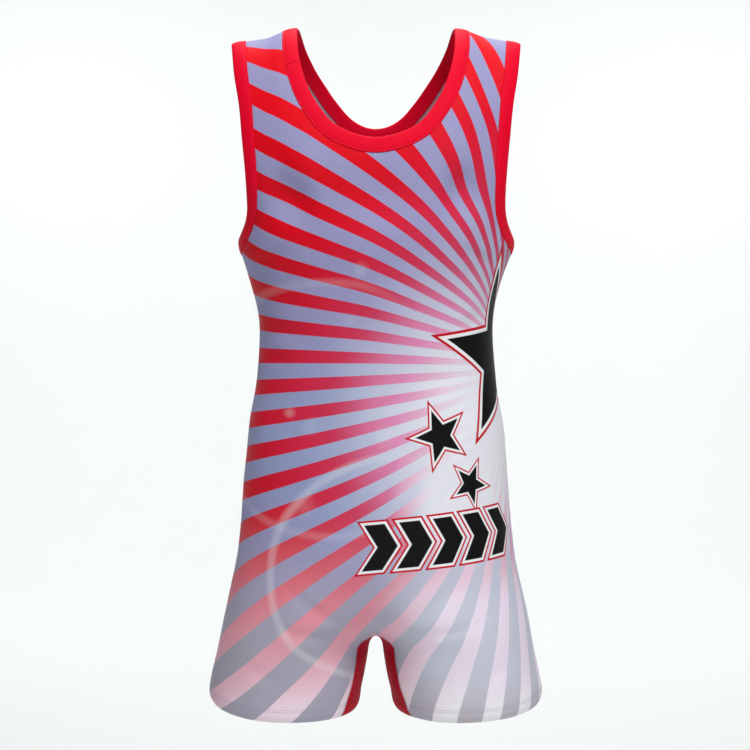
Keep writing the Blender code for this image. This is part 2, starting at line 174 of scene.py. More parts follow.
# Creases, as soft troughs between two points of the skin, seen from the front or from the back.
CREASES = records(
    "side x1 z1 x2 z2 sag width depth",
    (-1, 0.022, -0.722, 0.112, -0.652, 0.010, 0.0090, 0.0016),  # front, from the crotch to the hips
    (-1, -0.026, -0.718, -0.122, -0.660, 0.012, 0.0085, 0.0014),
    (-1, 0.040, -0.738, 0.150, -0.706, 0.006, 0.0070, 0.0011),
    (-1, -0.036, -0.740, -0.138, -0.716, 0.005, 0.0075, 0.0012),
    (-1, -0.136, -0.192, -0.064, -0.220, 0.004, 0.0270, 0.0082),  # hollows beside the armholes
    (-1, 0.138, -0.188, 0.068, -0.208, 0.004, 0.0270, 0.0082),
    (-1, -0.110, -0.206, 0.106, -0.202, 0.005, 0.0330, 0.0035),  # and the shallow one between them
    (-1, -0.150, -0.300, -0.086, -0.262, -0.006, 0.0080, 0.0011),  # under the arms
    (-1, 0.152, -0.296, 0.094, -0.270, -0.005, 0.0075, 0.0010),
    (-1, -0.142, -0.352, -0.070, -0.372, 0.006, 0.0100, 0.0010),  # waist
    (-1, 0.140, -0.340, 0.078, -0.366, 0.005, 0.0095, 0.0009),
    (-1, -0.146, -0.408, -0.092, -0.398, -0.004, 0.0090, 0.0008),
    (-1, 0.118, -0.425, 0.034, -0.410, 0.006, 0.0110, 0.0007),
    (-1, -0.168, -0.770, -0.108, -0.790, 0.006, 0.0090, 0.0008),  # thighs
    (-1, 0.176, -0.764, 0.122, -0.792, 0.005, 0.0090, 0.0008),
    (1, 0.016, -0.706, 0.094, -0.672, 0.012, 0.0085, 0.0016),  # back, under the seat
    (1, -0.018, -0.710, -0.104, -0.668, 0.010, 0.0090, 0.0015),
    (1, 0.030, -0.735, 0.142, -0.728, 0.007, 0.0080, 0.0012),
    (1, -0.034, -0.733, -0.132, -0.722, 0.008, 0.0075, 0.0013),
    (1, -0.078, -0.392, 0.060, -0.402, 0.009, 0.0110, 0.0013),  # small of the back
    (1, -0.048, -0.424, 0.092, -0.418, 0.008, 0.0100, 0.0011),
    (1, -0.138, -0.372, -0.074, -0.384, -0.004, 0.0090, 0.0010),
    (1, 0.140, -0.358, 0.086, -0.378, -0.005, 0.0095, 0.0010),
    (1, -0.146, -0.286, -0.080, -0.236, 0.006, 0.0085, 0.0011),
    (1, 0.148, -0.290, 0.088, -0.246, 0.005, 0.0080, 0.0010),
    (1, -0.160, -0.782, -0.096, -0.800, 0.005, 0.0090, 0.0008),
    (1, 0.166, -0.776, 0.110, -0.802, 0.006, 0.0090, 0.0008),
)

# Stitching.
STITCH_PITCH = 0.0032
STITCH_LENGTH = 0.0024
THREAD_RADIUS = 0.00026
ROW_SPACING = 0.0030  # between the two rows of a twin-needle seam
HEM_DEPTH = 0.020

# Print: rays about a point behind the wearer's left side seam, in the print's own coordinates.
RAY_CENTRE = (0.2776, -0.4022)
RAY_COUNT = 67
RAY_PHASE = 1.7322
RAY_EDGE = 0.0007  # width over which a ray turns into the next
RAY_BALANCE = 0.08  # makes the red rays a little narrower than the grey
STRETCH_U = (1.0, 1.1282, -0.8495)  # of the print across the front, by powers of the arc
STRETCH_V = (0.0090, 0.2346, 0.0)
CHEST_FOOT = -0.420  # height over which the print is stretched further, by its square
CHEST_U = (1.443, 9.751, -111.12)
CHEST_V = (-2.709, -23.495, 77.28)
LEG_HEIGHT = 0.22
LEG_BEND = 0.25  # softness of the leg's onset, as a share of its height
LEG_LEAN = (0.0377, -0.0583, -3.471)  # sideways shift of the print on the legs, by powers of the arc
LEG_CURL = (-0.0541, -0.0365, 2.593)
BACK_CENTRE = 0.430  # across the print, on the centre line of the back
UNDERARM_BEND = 0.030  # softness of the turn from the side seam into the armhole

# The print swings about the rays' centre on the wearer's left chest and beside the waist, by these
# shares of half a ray's period. Each window opens from its first value to its second.
CHEST_SWING = -1.627
CHEST_SLANT = 0.821  # sideways run of the window for each step up from its level
CHEST_LEVEL = -0.200
CHEST_ACROSS = (-0.0097, 0.2190)
CHEST_UP = (-0.265, -0.115)
WAIST_SWING = 0.533
WAIST_ACROSS = (-0.020, 0.100)
WAIST_UP = (-0.420, -0.320)
WAIST_END = (-0.200, -0.300)

QUARTER = np.pi / 2
ON_CENTRE = 1e-6  # anything nearer lies on the centre plane
GRADIENT_STEP = 1e-4
DENSE_STEPS = 3000
SEAM_CROWDING = 1.5  # brings a seam's dense steps closer at the strap top
HALVINGS = 60

Side = namedtuple("Side", "sign chest depth neck armhole")
Grid = namedtuple("Grid", "points normals across level")

# Rows of a half panel along each of its seams, with the edge's column and the column beside it.
NECK_EDGE = (slice(0, NECK_ROWS + 1), 0, 1)
ARMHOLE_EDGE = (slice(0, ARMHOLE_ROWS + 1), -1, -2)
SIDE_EDGE = (slice(ARMHOLE_ROWS, None), -1, -2)
LEG_EDGE = (slice(-LEG_ROWS - 1, None), 0, 1)
GUSSET_EDGES = ((slice(None), 0, 1), (slice(None), -1, -2))


def smooth(at, knots, values):
    """Cubic curve through the values at rising knots, with each slope from the neighbours."""
    slopes = np.gradient(values, knots)
    at = np.clip(at, knots[0], knots[-1])
    cell = np.clip(np.searchsorted(knots, at) - 1, 0, len(knots) - 2)
    step = knots[cell + 1] - knots[cell]
    t = (at - knots[cell]) / step
    start = (2 * t**3 - 3 * t**2 + 1) * values[cell] + (t**3 - 2 * t**2 + t) * step * slopes[cell]
    end = (3 * t**2 - 2 * t**3) * values[cell + 1] + (t**3 - t**2) * step * slopes[cell + 1]
    return start + end


def lengths(points):
    """Distances along lines of points, whose first axis runs along them."""
    steps = np.linalg.norm(np.diff(points, axis=0), axis=-1)
    return np.concatenate([np.zeros_like(steps[:1]), np.cumsum(steps, axis=0)])


def eased(value, low, high):
    """From 0 at low to 1 at high, with level ends."""
    share = np.clip((value - low) / (high - low), 0, 1)
    return share**2 * (3 - 2 * share)


def blurred(values, width, reach):
    """The values smoothed by a bell of this width and reach, in steps."""
    weights = np.exp(-0.5 * (np.arange(-reach, reach + 1) / width) ** 2)
    return np.convolve(np.pad(values, reach, mode="edge"), weights / weights.sum(), mode="valid")


# The sections' curves, softened so that the light runs over them without bands.
FINE_STEP = 0.00025
FINE_LEVELS = np.arange(-0.880, 0.0300, FINE_STEP)
SOFT_STEPS = 20


def softened(name):
    values = smooth(FINE_LEVELS, SECTIONS["level"], SECTIONS[name])
    return blurred(values, SOFT_STEPS, 4 * SOFT_STEPS)


CURVES = {name: softened(name) for name in SECTIONS if name != "level"}
FRONT = Side(-1, FRONT_CHEST_LEVEL, "front_depth", FRONT_NECK, ARMHOLES["front"])
BACK = Side(1, BACK_CHEST_LEVEL, "back_depth", BACK_NECK, ARMHOLES["back"])


def section(level, name):
    return np.interp(level, FINE_LEVELS, CURVES[name])


def crest(x):
    return smooth(np.abs(x), CREST["half_width"], CREST["height"])


def cleft(level):
    """Bridging radius of the cloth between the legs: none on the trunk, full at the crotch."""
    return CLEFT_RADIUS * eased(level, HIP_LEVEL, CLEFT_LEVEL)


def climb_of(side, level):
    """Chart height: an angle above the chest, where the skin domes over, and a length below it."""
    share = (level - side.chest) / -side.chest
    return np.where(share > 0, np.arcsin(np.clip(share, 0, 1)), share)


def level_of(side, climb):
    return side.chest * (1 - np.where(climb > 0, np.sin(np.clip(climb, 0, QUARTER)), climb))


def inner_turn(level):
    centre = section(level, "leg_centre")
    radius = section(level, "half_width") - centre
    return np.arcsin(np.clip((cleft(level) - centre) / radius, -1, 1))


def spread(reach, level):
    x = np.sqrt(np.maximum(reach**2 - cleft(level) ** 2, 0))
    return np.where(x < ON_CENTRE, 0, x)


def leg_reach(level, turn):
    """Distance across from the centre plane, before the legs are bridged."""
    centre = section(level, "leg_centre")
    return centre + (section(level, "half_width") - centre) * np.sin(turn)


def skin(side, across, climb):
    """Points of the skin on the +X half, where across is 0 on the centre line and 1 on the side line."""
    across, climb = np.broadcast_arrays(np.asarray(across, float), np.asarray(climb, float))
    level = level_of(side, climb)
    start = inner_turn(level)
    turn = start + across * (QUARTER - start)
    x = spread(leg_reach(level, turn), level)
    rise = np.sin(np.clip(climb, 0, QUARTER))
    kept = np.sqrt(np.clip(1 - rise**DOME_POWER, 0, 1))
    y = side.sign * section(level, side.depth) * np.cos(turn) * kept
    return np.stack([x, y, level + crest(x) * rise], axis=-1)


def fullness(chest, x, z):
    """Square of the skin's depth at a place, as a share of the full depth at its level; and that level."""
    rise = np.clip((z - chest) / (crest(x) - chest), 0, None)
    level = np.where(rise > 0, chest * (1 - rise), z)
    centre = section(level, "leg_centre")
    radius = section(level, "half_width") - centre
    reach = np.sqrt(x**2 + cleft(level) ** 2)
    return (1 - rise**DOME_POWER) * (1 - ((reach - centre) / radius) ** 2), level


def surface_y(side, x, z):
    """Depth coordinate of the skin at a place seen from the front or the back."""
    full, level = fullness(side.chest, x, z)
    return side.sign * section(level, side.depth) * np.sqrt(np.clip(full, 0, None))


def skin_value(points):
    """Zero on the skin, positive inside it."""
    x, y, z = np.moveaxis(points, -1, 0)
    front = y < 0
    full, level = fullness(np.where(front, FRONT.chest, BACK.chest), x, z)
    depth = np.where(front, section(level, FRONT.depth), section(level, BACK.depth))
    return full - (y / depth) ** 2


def skin_gradient(points):
    parts = []
    for axis in np.eye(3) * GRADIENT_STEP:
        parts.append((skin_value(points + axis) - skin_value(points - axis)) / (2 * GRADIENT_STEP))
    return np.stack(parts, axis=-1)


def unit(vectors):
    return vectors / np.maximum(np.linalg.norm(vectors, axis=-1, keepdims=True), 1e-12)


def skin_normal(points):
    return -unit(skin_gradient(points))


def on_skin(points):
    """The points moved onto the skin, along its normal."""
    for _ in range(4):
        slope = skin_gradient(points)
        share = skin_value(points) / np.sum(slope**2, axis=-1)
        points = points - share[..., None] * slope
    return points


def even_steps(side, across, climb, count):
    """A dense chart curve resampled at even distances along the skin."""
    along = lengths(skin(side, across, climb))
    wanted = np.linspace(0, along[-1], count + 1)
    return np.interp(wanted, along, across), np.interp(wanted, along, climb)


def seam_through(side, across, climb, mirrored_about, count):
    """Even steps on a smooth seam from the strap top, which crosses the last line square to it."""
    along = lengths(skin(side, across, climb))
    knots = np.append(along, 2 * along[-1] - along[-2])
    across = np.append(across, 2 * mirrored_about - across[-2])
    climb = np.append(climb, climb[-2])
    dense = along[-1] * np.linspace(0, 1, DENSE_STEPS + 1) ** SEAM_CROWDING
    return even_steps(side, smooth(dense, knots, across), smooth(dense, knots, climb), count)


def neck_seam(side):
    level = side.neck["level"]
    turn = np.arcsin(side.neck["half_width"] / section(level, "half_width"))
    return seam_through(side, turn / QUARTER, climb_of(side, level), 0, NECK_ROWS)


def armhole_seam(side):
    climb = climb_of(side, ARMHOLES["level"])
    return seam_through(side, np.radians(side.armhole) / QUARTER, climb, 1, ARMHOLE_ROWS)


def gusset_turn(level):
    return -np.radians(smooth(level, GUSSET_SEAM["level"], GUSSET_SEAM["turn"]))


def meridian_turn(share, level):
    return -QUARTER + share * (gusset_turn(level) + QUARTER)


def meridian(share, level):
    """Points of the gusset: share is 1 on the front seam, 0 inmost on the leg and -1 on the back seam."""
    turn = meridian_turn(share, level)
    x = spread(leg_reach(level, turn), level)
    depth = np.where(share > 0, section(level, FRONT.depth), section(level, BACK.depth))
    return np.stack([x, -depth * np.cos(turn), level], axis=-1)


def meridian_levels(share):
    """Levels of a meridian from the centre line under the crotch down to the hem, evenly along it."""
    high, low = HIP_LEVEL, HEM_LEVEL
    for _ in range(HALVINGS):
        middle = (high + low) / 2
        bridged = leg_reach(middle, meridian_turn(share, middle)) < cleft(middle)
        high, low = (middle, low) if bridged else (high, middle)
    top = (high + low) / 2
    bottom = HEM_LEVEL + HEM_TILT * np.sin(meridian_turn(share, HEM_LEVEL))
    dense = top + (bottom - top) * np.linspace(0, 1, DENSE_STEPS + 1) ** 2
    along = lengths(meridian(share, dense)[:, [0, 2]])
    return np.interp(np.linspace(0, along[-1], LEG_ROWS + 1), along, dense)


def crotch_levels(top):
    """Levels on the centre line from the hip to the gusset, evenly along the front."""
    climb = climb_of(FRONT, np.linspace(HIP_LEVEL, top, DENSE_STEPS + 1))
    return level_of(FRONT, even_steps(FRONT, 0 * climb, climb, CROTCH_ROWS)[1])


def panel_edges(side):
    """Chart curves of a half panel's inner and outer edges, row by row from the strap top to the hem."""
    neck_across, neck_climb = neck_seam(side)
    arm_across, arm_climb = armhole_seam(side)
    seam = meridian_levels(1.0)
    crotch = crotch_levels(seam[0])
    trunk_rows = ARMHOLE_ROWS + WAIST_ROWS - NECK_ROWS
    centre = np.linspace(level_of(side, neck_climb[-1]), HIP_LEVEL, trunk_rows + 1)
    waist = np.linspace(UNDERARM_LEVEL, HIP_LEVEL, WAIST_ROWS + 1)
    start = inner_turn(seam)
    seam_across = (gusset_turn(seam) - start) / (QUARTER - start)
    drop = (seam[0] - seam) / (seam[0] - seam[-1])
    side_of_leg = seam + drop * (HEM_LEVEL + HEM_TILT - seam[-1])
    none = np.zeros(trunk_rows + CROTCH_ROWS)
    inner = (
        np.concatenate([neck_across, none, seam_across[1:]]),
        np.concatenate([neck_climb, climb_of(side, np.concatenate([centre[1:], crotch[1:], seam[1:]]))]),
    )
    outer = (
        np.concatenate([arm_across, np.ones(WAIST_ROWS + CROTCH_ROWS + LEG_ROWS)]),
        np.concatenate([arm_climb, climb_of(side, np.concatenate([waist[1:], crotch[1:], side_of_leg[1:]]))]),
    )
    return inner, outer


def along_edge(points, square_start=False, square_end=False):
    """Unit tangents of an edge; a square end crosses the centre plane at right angles."""
    tangents = np.gradient(points, axis=0)
    if square_start:
        tangents[0] = (np.sign(tangents[0][0]), 0, 0)
    if square_end:
        tangents[-1] = (np.sign(tangents[-1][0]), 0, 0)
    return unit(tangents)


def set_back(edge, normals, neighbours, **ends):
    """How far each point of an edge moves, in the skin, to leave half the seam gap."""
    away = unit(np.cross(normals, along_edge(edge, **ends)))
    return away * np.sign(np.sum(away * (neighbours - edge))) * SEAM_GAP / 2


def panel_grid(side):
    """Half a panel on the skin: rows from the strap top to the hem, columns from the inner edge out."""
    (inner_across, inner_climb), (outer_across, outer_climb) = panel_edges(side)
    share = np.linspace(0, 1, PANEL_COLUMNS + 1)
    across = inner_across[:, None] + share * (outer_across - inner_across)[:, None]
    climb = inner_climb[:, None] + share * (outer_climb - inner_climb)[:, None]
    points = skin(side, across, climb)
    normals = skin_normal(points)
    moves = np.zeros_like(points)
    for (rows, edge, inside), ends in (
        (NECK_EDGE, {"square_end": True}),
        (LEG_EDGE, {"square_start": True}),
        (ARMHOLE_EDGE, {}),
        (SIDE_EDGE, {}),
    ):
        moves[rows, edge] += set_back(points[rows, edge], normals[rows, edge], points[rows, inside], **ends)
    moves[0] += set_back(points[0], normals[0], points[1])
    return Grid(points + moves, normals, across, level_of(side, climb))


def gusset_grid():
    """Half the gusset on the skin: rows from under the crotch to the hem, columns from front to back."""
    shares = np.linspace(1, -1, GUSSET_COLUMNS + 1)
    points = np.stack([meridian(share, meridian_levels(share)) for share in shares], axis=1)
    normals = skin_normal(points)
    moves = np.zeros_like(points)
    for rows, edge, inside in GUSSET_EDGES:
        moves[rows, edge] += set_back(points[rows, edge], normals[rows, edge], points[rows, inside],
                                      square_start=True)
    return Grid(points + moves, normals, points[..., 0], points[..., 2])


# Relief of the cloth: listed creases, and a faint unevenness.

UNDULATIONS = records(
    "direction phase height",
    ((9.0, 3.0, 5.0), 0.4, 0.00035),
    ((-4.0, 7.0, 8.5), 2.1, 0.00030),
    ((14.0, -6.0, 3.5), 4.0, 0.00022),
    ((5.5, 11.0, -12.5), 1.3, 0.00018),
)
CREASE_POINTS = 17
CREASE_REACH = 4  # widths at which a crease has died away
RIDGE = 0.9  # share of a trough's depth that rises beside it
TAPER = 1.5  # power of the arch by which a crease fades to its ends


def crease_line(crease):
    """Points along one crease, on the skin."""
    side = FRONT if crease["side"] < 0 else BACK
    t = np.linspace(0, 1, CREASE_POINTS)
    x = crease["x1"] + t * (crease["x2"] - crease["x1"])
    z = crease["z1"] + t * (crease["z2"] - crease["z1"]) - crease["sag"] * 4 * t * (1 - t)
    return np.stack([x, surface_y(side, x, z), z], axis=-1)


CREASE_LINES = [crease_line(crease) for crease in CREASES]


def nearest_on(line, points):
    """Distance from each point to a line, and the share of the line's way at which it is nearest."""
    best = np.full(len(points), np.inf)
    where = np.zeros(len(points))
    for k, (a, b) in enumerate(zip(line, line[1:])):
        run = b - a
        t = np.clip((points - a) @ run / (run @ run), 0, 1)
        away = np.linalg.norm(points - a - t[:, None] * run, axis=1)
        closer = away < best
        best = np.where(closer, away, best)
        where = np.where(closer, (k + t) / (len(line) - 1), where)
    return best, np.clip(where, 0, 1)


def relief(points):
    """Height of the cloth over the skin at these points."""
    flat = points.reshape(-1, 3)
    total = np.zeros(len(flat))
    for wave in UNDULATIONS:
        total += wave["height"] * np.sin(2 * np.pi * (flat @ wave["direction"]) + wave["phase"])
    for line, crease in zip(CREASE_LINES, CREASES):
        margin = CREASE_REACH * crease["width"]
        boxed = (flat > line.min(axis=0) - margin) & (flat < line.max(axis=0) + margin)
        near = np.nonzero(np.all(boxed, axis=1))[0]
        away, where = nearest_on(line, flat[near])
        square = (away / crease["width"]) ** 2
        trough = (1 - RIDGE * square) * np.exp(-0.5 * square)
        total[near] -= crease["depth"] * np.sin(np.pi * where) ** TAPER * trough
    return total.reshape(points.shape[:-1])


def settled(points, normals, height=0.0):
    """Points of the skin moved out to the cloth's own surface, and by a height over it."""
    return points + normals * (relief(points) + height)[..., None]


# Print coordinates: arc length round the front from its centre line, and height along the cloth.

ARC_STEPS = 240
ARC_LEVELS = np.linspace(-0.852, -0.0005, 600)
EASE_ROWS = 7
HEIGHT_MARK = -0.400  # level at which the height along the cloth is the level itself


def arc_table(side):
    """How far each point of the skin lies across the cut cloth, by level and by share of the way.

    On a leg the cloth is laid flat about the line over the leg's middle, and where both legs' cloth
    meets on the centre line its inner part is taken in to fit.
    """
    across = np.linspace(0, 1, ARC_STEPS + 1)
    points = skin(side, across[None, :], climb_of(side, ARC_LEVELS)[:, None])
    arcs = lengths(points.swapaxes(0, 1)).T
    start = inner_turn(ARC_LEVELS)
    middle = np.clip(-start / (QUARTER - start), 0, 1)
    inner = np.array([np.interp(m, across, arc) for m, arc in zip(middle, arcs)])
    centre = spread(np.maximum(section(ARC_LEVELS, "leg_centre"), cleft(ARC_LEVELS)), ARC_LEVELS)
    taken = np.where(inner > FINE_STEP, centre / np.maximum(inner, FINE_STEP), 1)
    crotch = np.argmax(ARC_LEVELS > CROTCH_LEVEL)
    taken[:crotch] = taken[crotch]
    taken = blurred(taken, EASE_ROWS, 3 * EASE_ROWS)
    beyond = arcs - inner[:, None]
    return centre[:, None] + beyond * np.where(beyond < 0, taken[:, None], 1)


def cloth_height():
    """Height along the cloth at each level, on a line a third of the way round the front."""
    start = inner_turn(ARC_LEVELS)
    line = skin(FRONT, (QUARTER / 3 - start) / (QUARTER - start), climb_of(FRONT, ARC_LEVELS))
    height = lengths(line[:, 1:])
    return height + HEIGHT_MARK - np.interp(HEIGHT_MARK, ARC_LEVELS, height)


FRONT_ARC = arc_table(FRONT)
BACK_ARC = arc_table(BACK)
CLOTH_HEIGHT = cloth_height()


def look_up(arcs, level, across):
    """The way across the cut cloth at a level and a share of the way, from a table of them."""
    row = np.interp(level, ARC_LEVELS, np.arange(len(ARC_LEVELS)))
    spot = np.clip(across, 0, 1) * ARC_STEPS
    r0 = np.clip(row.astype(int), 0, len(ARC_LEVELS) - 2)
    c0 = np.clip(spot.astype(int), 0, ARC_STEPS - 1)
    fr, fc = row - r0, spot - c0
    upper = arcs[r0, c0] * (1 - fc) + arcs[r0, c0 + 1] * fc
    lower = arcs[r0 + 1, c0] * (1 - fc) + arcs[r0 + 1, c0 + 1] * fc
    return upper * (1 - fr) + lower * fr


def onset(value, width):
    """The value where it is above zero, and zero below, with a soft bend between."""
    return (value + np.sqrt(value**2 + width**2)) / 2


def series(factors, u):
    """The sum of the factors times the powers of u, of which the first is 1."""
    return sum(factor * u**power for power, factor in enumerate(factors))


def swing(u, v):
    """Angle by which the print turns about the rays' centre."""
    chest = eased(u + CHEST_SLANT * (v - CHEST_LEVEL), *CHEST_ACROSS) * eased(v, *CHEST_UP)
    waist = eased(u, *WAIST_ACROSS) * eased(v, *WAIST_UP) * eased(v, *WAIST_END)
    return np.pi / RAY_COUNT * (CHEST_SWING * chest + WAIST_SWING * waist)


def stretched(u, v):
    """Print coordinates of a place on the front; on the legs the print also leans."""
    chest = np.clip(v - CHEST_FOOT, 0, None) ** 2
    leg = onset((HIP_LEVEL - v) / LEG_HEIGHT, LEG_BEND)
    lean = series(LEG_LEAN, u) * leg + series(LEG_CURL, u) * leg**2
    du = u * (series(STRETCH_U, u) + chest * series(CHEST_U, u)) + lean - RAY_CENTRE[0]
    dv = u * (series(STRETCH_V, u) + chest * series(CHEST_V, u)) + v - RAY_CENTRE[1]
    turn = swing(u, v)
    return (RAY_CENTRE[0] + du * np.cos(turn) + dv * np.sin(turn),
            RAY_CENTRE[1] + dv * np.cos(turn) - du * np.sin(turn))


def print_coordinates(side, level, across, hand):
    """Where the print falls; hand is 1 on the wearer's left half and -1 on the right."""
    v = np.interp(level, ARC_LEVELS, CLOTH_HEIGHT)
    if side is FRONT:
        return stretched(hand * look_up(FRONT_ARC, level, across), v)
    seam = level - onset(level - UNDERARM_LEVEL, UNDERARM_BEND)
    seam_v = np.interp(seam, ARC_LEVELS, CLOTH_HEIGHT)
    edge = np.ones_like(level)
    edge_u, edge_v = stretched(look_up(FRONT_ARC, seam, edge), seam_v)
    share = look_up(BACK_ARC, level, across) / look_up(BACK_ARC, level, edge)
    return BACK_CENTRE - hand * (BACK_CENTRE - edge_u) * share, v + edge_v - seam_v


# Meshes.

UV_LAYER = "cloth"
WELD = 1e-5  # vertices nearer than this are one
ASKED_EVERY = 97  # one face in so many is asked which way it looks
HANDS = (1, -1)  # the wearer's left half, and the right


def new_object(name, data):
    obj = bpy.data.objects.new(name, data)
    bpy.context.scene.collection.objects.link(obj)
    return obj


def new_mesh(name, points, faces):
    """A mesh and its editable copy."""
    mesh = bpy.data.meshes.new(name)
    mesh.from_pydata(points.reshape(-1, 3).tolist(), [], faces.reshape(-1, 4).tolist())
    bm = bmesh.new()
    bm.from_mesh(mesh)
    return mesh, bm


def finished(name, mesh, bm):
    """The smooth object of an edited mesh."""
    bm.to_mesh(mesh)
    bm.free()
    mesh.shade_smooth()
    return new_object(name, mesh)


class Cloth:
    """Collects the vertices and faces of a piece; every vertex has its place on the flat cloth."""

    def __init__(self):
        self.points, self.uv, self.faces = [], [], []
        self.count = 0

    def add(self, points, uv):
        """Vertices of one array shape; returns their indices in that shape."""
        shape = points.shape[:-1]
        size = int(np.prod(shape))
        self.points.append(points.reshape(-1, 3))
        self.uv.append(uv.reshape(-1, 2))
        index = np.arange(self.count, self.count + size).reshape(shape)
        self.count += size
        return index

    def quads(self, index):
        corners = (index[:-1, :-1], index[:-1, 1:], index[1:, 1:], index[1:, :-1])
        self.faces.append(np.stack(corners, axis=-1).reshape(-1, 4))

    def build(self, name, outward):
        """The piece's object; outward tells which way a place on it should look."""
        mesh, bm = new_mesh(name, np.concatenate(self.points), np.concatenate(self.faces))
        places = np.concatenate(self.uv)
        layer = bm.loops.layers.uv.new(UV_LAYER)
        for face in bm.faces:
            for loop in face.loops:
                loop[layer].uv = places[loop.vert.index]
        bmesh.ops.remove_doubles(bm, verts=bm.verts, dist=WELD)
        bmesh.ops.recalc_face_normals(bm, faces=bm.faces)
        asked = list(bm.faces)[::ASKED_EVERY]
        if sum(face.normal.dot(outward(face.calc_center_median())) for face in asked) < 0:
            bmesh.ops.reverse_faces(bm, faces=bm.faces)
        return finished(name, mesh, bm)


def away_from_skin(centre):
    """Outward direction of the skin at a place."""
    return Vector(skin_normal(np.array([list(centre)]))[0])


# Lines of the strips beside a panel's edges: how far past the edge, and how far inwards.
ALLOWANCE = ((0.0, 0.0006), (-0.0001, 0.0022), (-0.0001, 0.0045))
TUCK = ((0.0012, 0.0008), (0.0030, 0.0008))  # inside a binding
FOLD = ((0.0002, 0.0006), (0.00085, 0.00095), (0.0015, 0.0006))  # inwards and down, round the hem's edge
FOLD_DEPTH = 0.0018
HEM_ROLL = 0.0030
HEM_ROLL_RISE = 0.011


def finished_half(grid, hand):
    """One half's grid on the cloth's own surface, with the rows beside the hem curled in a little."""
    flip = np.array([hand, 1, 1])
    normals = grid.normals * flip
    points = settled(grid.points * flip, normals)
    above = lengths(points[::-1])[::-1]
    inward = HEM_ROLL * np.clip(1 - above / HEM_ROLL_RISE, 0, None) ** 2
    return Grid(points - normals * inward[..., None], normals, grid.across, grid.level)


def hem_fold(points, normals):
    """Rows that turn under at the hem and run up inside it."""
    down = unit(points[-1] - points[-2])
    rows = [points[-1] - normals[-1] * inward + down * drop for inward, drop in FOLD]
    step = np.linalg.norm(points[-1] - points[-2], axis=-1).mean()
    for k in range(int(HEM_DEPTH / step)):
        rows.append(points[-1 - k] - normals[-1 - k] * FOLD_DEPTH)
    return np.stack(rows)


def add_hemmed(cloth, grid, uv):
    """Adds a half with its hem; returns the indices of the grid's own rows."""
    fold = hem_fold(grid.points, grid.normals)
    rows_up = np.clip(len(FOLD) - 2 - np.arange(len(fold)), -len(grid.points), -1)
    index = cloth.add(np.concatenate([grid.points, fold]), np.concatenate([uv, uv[rows_up]]))
    cloth.quads(index)
    return index[:len(grid.points)]


def add_strip(cloth, index, grid, uv, edge, lines, level=False):
    """Adds a strip turned in along an edge. A level strip leaves the edge square to the normals."""
    rows, column, inside = edge
    start, normals = grid.points[rows, column], grid.normals[rows, column]
    outward = unit(start - grid.points[rows, inside])
    if level:
        outward -= normals * np.sum(outward * normals, axis=-1, keepdims=True)
    points = np.stack([start + outward * past - normals * inward for past, inward in lines], axis=1)
    strip = cloth.add(points, np.stack([uv[rows, column]] * len(lines), axis=1))
    cloth.quads(np.concatenate([index[rows, column][:, None], strip], axis=1))


def sewn_piece(name, whole, place, strips):
    """A piece of two halves, with their hems and the strips along their edges, and the halves' grids."""
    cloth = Cloth()
    halves = [finished_half(whole, hand) for hand in HANDS]
    for hand, grid in zip(HANDS, halves):
        uv = np.stack(place(hand), axis=-1)
        index = add_hemmed(cloth, grid, uv)
        for strip in strips:
            add_strip(cloth, index, grid, uv, *strip)
    return cloth.build(name, away_from_skin), halves


def panel(name, side):
    whole = panel_grid(side)
    strips = (
        (LEG_EDGE, ALLOWANCE, True),
        (SIDE_EDGE, ALLOWANCE, True),
        (NECK_EDGE, TUCK),
        (ARMHOLE_EDGE, TUCK),
    )

    def place(hand):
        return print_coordinates(side, whole.level, whole.across, hand)

    return sewn_piece(name, whole, place, strips)


def gusset(name):
    whole = gusset_grid()
    round_leg = lengths(whole.points.swapaxes(0, 1)).T
    down_leg = lengths(whole.points)
    strips = [(edge, ALLOWANCE) for edge in GUSSET_EDGES]
    return sewn_piece(name, whole, lambda hand: (round_leg, hand * down_leg), strips)


# Bindings: the outer face of a folded strip of cloth, as distance from the seam and height above the skin.
BINDING_CLOTH = 0.0006
BINDING_MIDDLE = -0.0007
BINDING_PROFILE = (
    (0.0064, -0.0004),  # edge turned under
    (0.0030, -0.0005),
    (0.0012, -0.0004),
    (0.0004, -0.0002),
    (0.0001, 0.0003),
    (0.0004, 0.0008),
    (0.0012, 0.0010),
    (0.0019, 0.0009),
    (0.0024, 0.0006),  # groove of the stitching
    (0.0029, 0.0009),
    (0.0042, 0.0011),
    (0.0080, 0.0012),
    (0.0120, 0.0011),
    (0.0155, 0.0008),
    (0.0174, 0.0004),
    (0.0184, -0.0003),
    (0.0187, -0.0010),  # folded edge
    (0.0183, -0.0017),
    (0.0172, -0.0022),
    (0.0120, -0.0024),
    (0.0060, -0.0024),
    (0.0020, -0.0023),
    (0.0006, -0.0023),
)
END_ROUNDING = ((0.0, 0.55), (0.0005, 0.90), (0.0014, 1.00))  # along from an end, share of the thickness
Strip = namedtuple("Strip", "points across flip")


def neck_ring():
    """The neck's seam all round, from the row where its binding is joined."""
    front = skin(FRONT, *neck_seam(FRONT))
    back = skin(BACK, *neck_seam(BACK))
    flip = np.array([-1, 1, 1])
    ring = np.concatenate([front * flip, front[-2::-1], back[1:], (back * flip)[-2:0:-1]])
    return np.roll(ring, -JOIN_ROW, axis=0)


def armhole_ring():
    """The left armhole's seam all round, from the underarm."""
    front = skin(FRONT, *armhole_seam(FRONT))
    back = skin(BACK, *armhole_seam(BACK))
    return np.concatenate([front[::-1], back[1:-1]])


def strip_directions(seam, tangents, toward_hole):
    """Directions across the strip, from the seam into the hole."""
    across = unit(np.cross(skin_normal(seam), tangents))
    return across * np.sign(np.sum(across * toward_hole))


